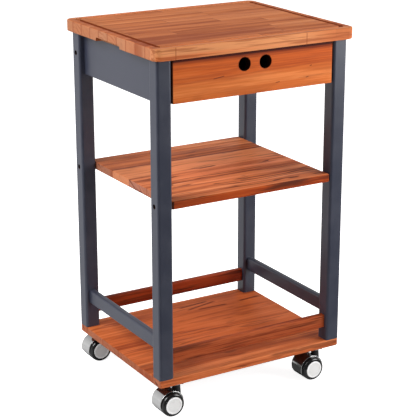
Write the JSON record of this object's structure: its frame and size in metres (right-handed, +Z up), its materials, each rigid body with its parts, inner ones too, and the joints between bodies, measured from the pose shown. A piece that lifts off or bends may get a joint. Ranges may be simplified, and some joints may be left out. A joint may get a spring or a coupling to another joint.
{
  "type": "serving cart",
  "caption": "Wooden serving cart: grooved butcher-block top, drawer with finger holes, middle shelf, railed bottom shelf, painted legs and hooded swivel castors.",
  "frame": {"origin": "on the floor under the middle of the cart, level with the bottom of the wheels", "axes": "+X to the right, +Y to the back, +Z up; the drawer faces -Y"},
  "size_m": [0.512, 0.434, 0.846],
  "materials": {
    "top_wood": "oiled, satin",
    "shelf_wood": "oiled, satin",
    "drawer_wood": "oiled, satin",
    "inner_wood": "plain",
    "panel_wood": "plain plywood",
    "dowel_wood": "plain",
    "frame_paint": "satin graphite paint",
    "zinc_steel": "zinc plated",
    "screw_steel": "plain",
    "chrome": "polished",
    "castor_black": "satin",
    "wheel_black": "gloss",
    "cap_grey": "satin"
  },
  "bodies": {
    "cart": {"back_apron": "frame_paint", "back_left_leg": "frame_paint", "back_rail": "shelf_wood", "back_right_leg": "frame_paint", "bottom_board": "shelf_wood", "foot_screws": "screw_steel", "frame_dowels": "dowel_wood", "front_left_leg": "frame_paint", "front_rail": "shelf_wood", "front_right_leg": "frame_paint", "left_apron": "frame_paint", "left_runner": "inner_wood", "left_stretcher": "frame_paint", "leg_screws": "screw_steel", "middle_shelf": "shelf_wood", "right_apron": "frame_paint", "right_runner": "inner_wood", "right_stretcher": "frame_paint", "top_board": "top_wood", "top_brackets": "zinc_steel", "wood_screws": "screw_steel", "front_left_castor_plate": "zinc_steel", "front_right_castor_plate": "zinc_steel", "back_left_castor_plate": "zinc_steel", "back_right_castor_plate": "zinc_steel"},
    "drawer": {"drawer_back": "inner_wood", "drawer_bottom": "panel_wood", "drawer_dowels": "dowel_wood", "drawer_front": "drawer_wood", "drawer_left_side": "inner_wood", "drawer_right_side": "inner_wood"},
    "front_left_castor": {"front_left_castor_fork": "castor_black", "front_left_castor_hood": "chrome", "front_left_castor_axle": "screw_steel"},
    "front_left_castor_front_wheel": {"front_left_castor_front_wheel": "wheel_black", "front_left_castor_front_cap": "cap_grey"},
    "front_left_castor_back_wheel": {"front_left_castor_back_wheel": "wheel_black", "front_left_castor_back_cap": "cap_grey"},
    "front_right_castor": {"front_right_castor_fork": "castor_black", "front_right_castor_hood": "chrome", "front_right_castor_axle": "screw_steel"},
    "front_right_castor_front_wheel": {"front_right_castor_front_wheel": "wheel_black", "front_right_castor_front_cap": "cap_grey"},
    "front_right_castor_back_wheel": {"front_right_castor_back_wheel": "wheel_black", "front_right_castor_back_cap": "cap_grey"},
    "back_left_castor": {"back_left_castor_fork": "castor_black", "back_left_castor_hood": "chrome", "back_left_castor_axle": "screw_steel"},
    "back_left_castor_front_wheel": {"back_left_castor_front_wheel": "wheel_black", "back_left_castor_front_cap": "cap_grey"},
    "back_left_castor_back_wheel": {"back_left_castor_back_wheel": "wheel_black", "back_left_castor_back_cap": "cap_grey"},
    "back_right_castor": {"back_right_castor_fork": "castor_black", "back_right_castor_hood": "chrome", "back_right_castor_axle": "screw_steel"},
    "back_right_castor_front_wheel": {"back_right_castor_front_wheel": "wheel_black", "back_right_castor_front_cap": "cap_grey"},
    "back_right_castor_back_wheel": {"back_right_castor_back_wheel": "wheel_black", "back_right_castor_back_cap": "cap_grey"}
  },
  "joints": [
    {"name": "drawer_slide", "type": "slide", "parent": "cart", "child": "drawer", "axis": [0, -1, 0], "range_m": [0, 0.25]},
    {"name": "front_left_castor_swivel", "type": "hinge", "parent": "cart", "child": "front_left_castor", "pos_m": [-0.192, -0.1805, 0.0595], "axis": [0, 0, 1], "continuous": true},
    {"name": "front_left_castor_front_wheel_spin", "type": "hinge", "parent": "front_left_castor", "child": "front_left_castor_front_wheel", "pos_m": [-0.214, -0.1805, 0.028], "axis": [0, 1, 0], "continuous": true},
    {"name": "front_left_castor_back_wheel_spin", "type": "hinge", "parent": "front_left_castor", "child": "front_left_castor_back_wheel", "pos_m": [-0.214, -0.1805, 0.028], "axis": [0, 1, 0], "continuous": true},
    {"name": "front_right_castor_swivel", "type": "hinge", "parent": "cart", "child": "front_right_castor", "pos_m": [0.192, -0.1805, 0.0595], "axis": [0, 0, 1], "continuous": true},
    {"name": "front_right_castor_front_wheel_spin", "type": "hinge", "parent": "front_right_castor", "child": "front_right_castor_front_wheel", "pos_m": [0.17, -0.1805, 0.028], "axis": [0, 1, 0], "continuous": true},
    {"name": "front_right_castor_back_wheel_spin", "type": "hinge", "parent": "front_right_castor", "child": "front_right_castor_back_wheel", "pos_m": [0.17, -0.1805, 0.028], "axis": [0, 1, 0], "continuous": true},
    {"name": "back_left_castor_swivel", "type": "hinge", "parent": "cart", "child": "back_left_castor", "pos_m": [-0.192, 0.1805, 0.0595], "axis": [0, 0, 1], "continuous": true},
    {"name": "back_left_castor_front_wheel_spin", "type": "hinge", "parent": "back_left_castor", "child": "back_left_castor_front_wheel", "pos_m": [-0.214, 0.1805, 0.028], "axis": [0, 1, 0], "continuous": true},
    {"name": "back_left_castor_back_wheel_spin", "type": "hinge", "parent": "back_left_castor", "child": "back_left_castor_back_wheel", "pos_m": [-0.214, 0.1805, 0.028], "axis": [0, 1, 0], "continuous": true},
    {"name": "back_right_castor_swivel", "type": "hinge", "parent": "cart", "child": "back_right_castor", "pos_m": [0.192, 0.1805, 0.0595], "axis": [0, 0, 1], "continuous": true},
    {"name": "back_right_castor_front_wheel_spin", "type": "hinge", "parent": "back_right_castor", "child": "back_right_castor_front_wheel", "pos_m": [0.17, 0.1805, 0.028], "axis": [0, 1, 0], "continuous": true},
    {"name": "back_right_castor_back_wheel_spin", "type": "hinge", "parent": "back_right_castor", "child": "back_right_castor_back_wheel", "pos_m": [0.17, 0.1805, 0.028], "axis": [0, 1, 0], "continuous": true}
  ]
}
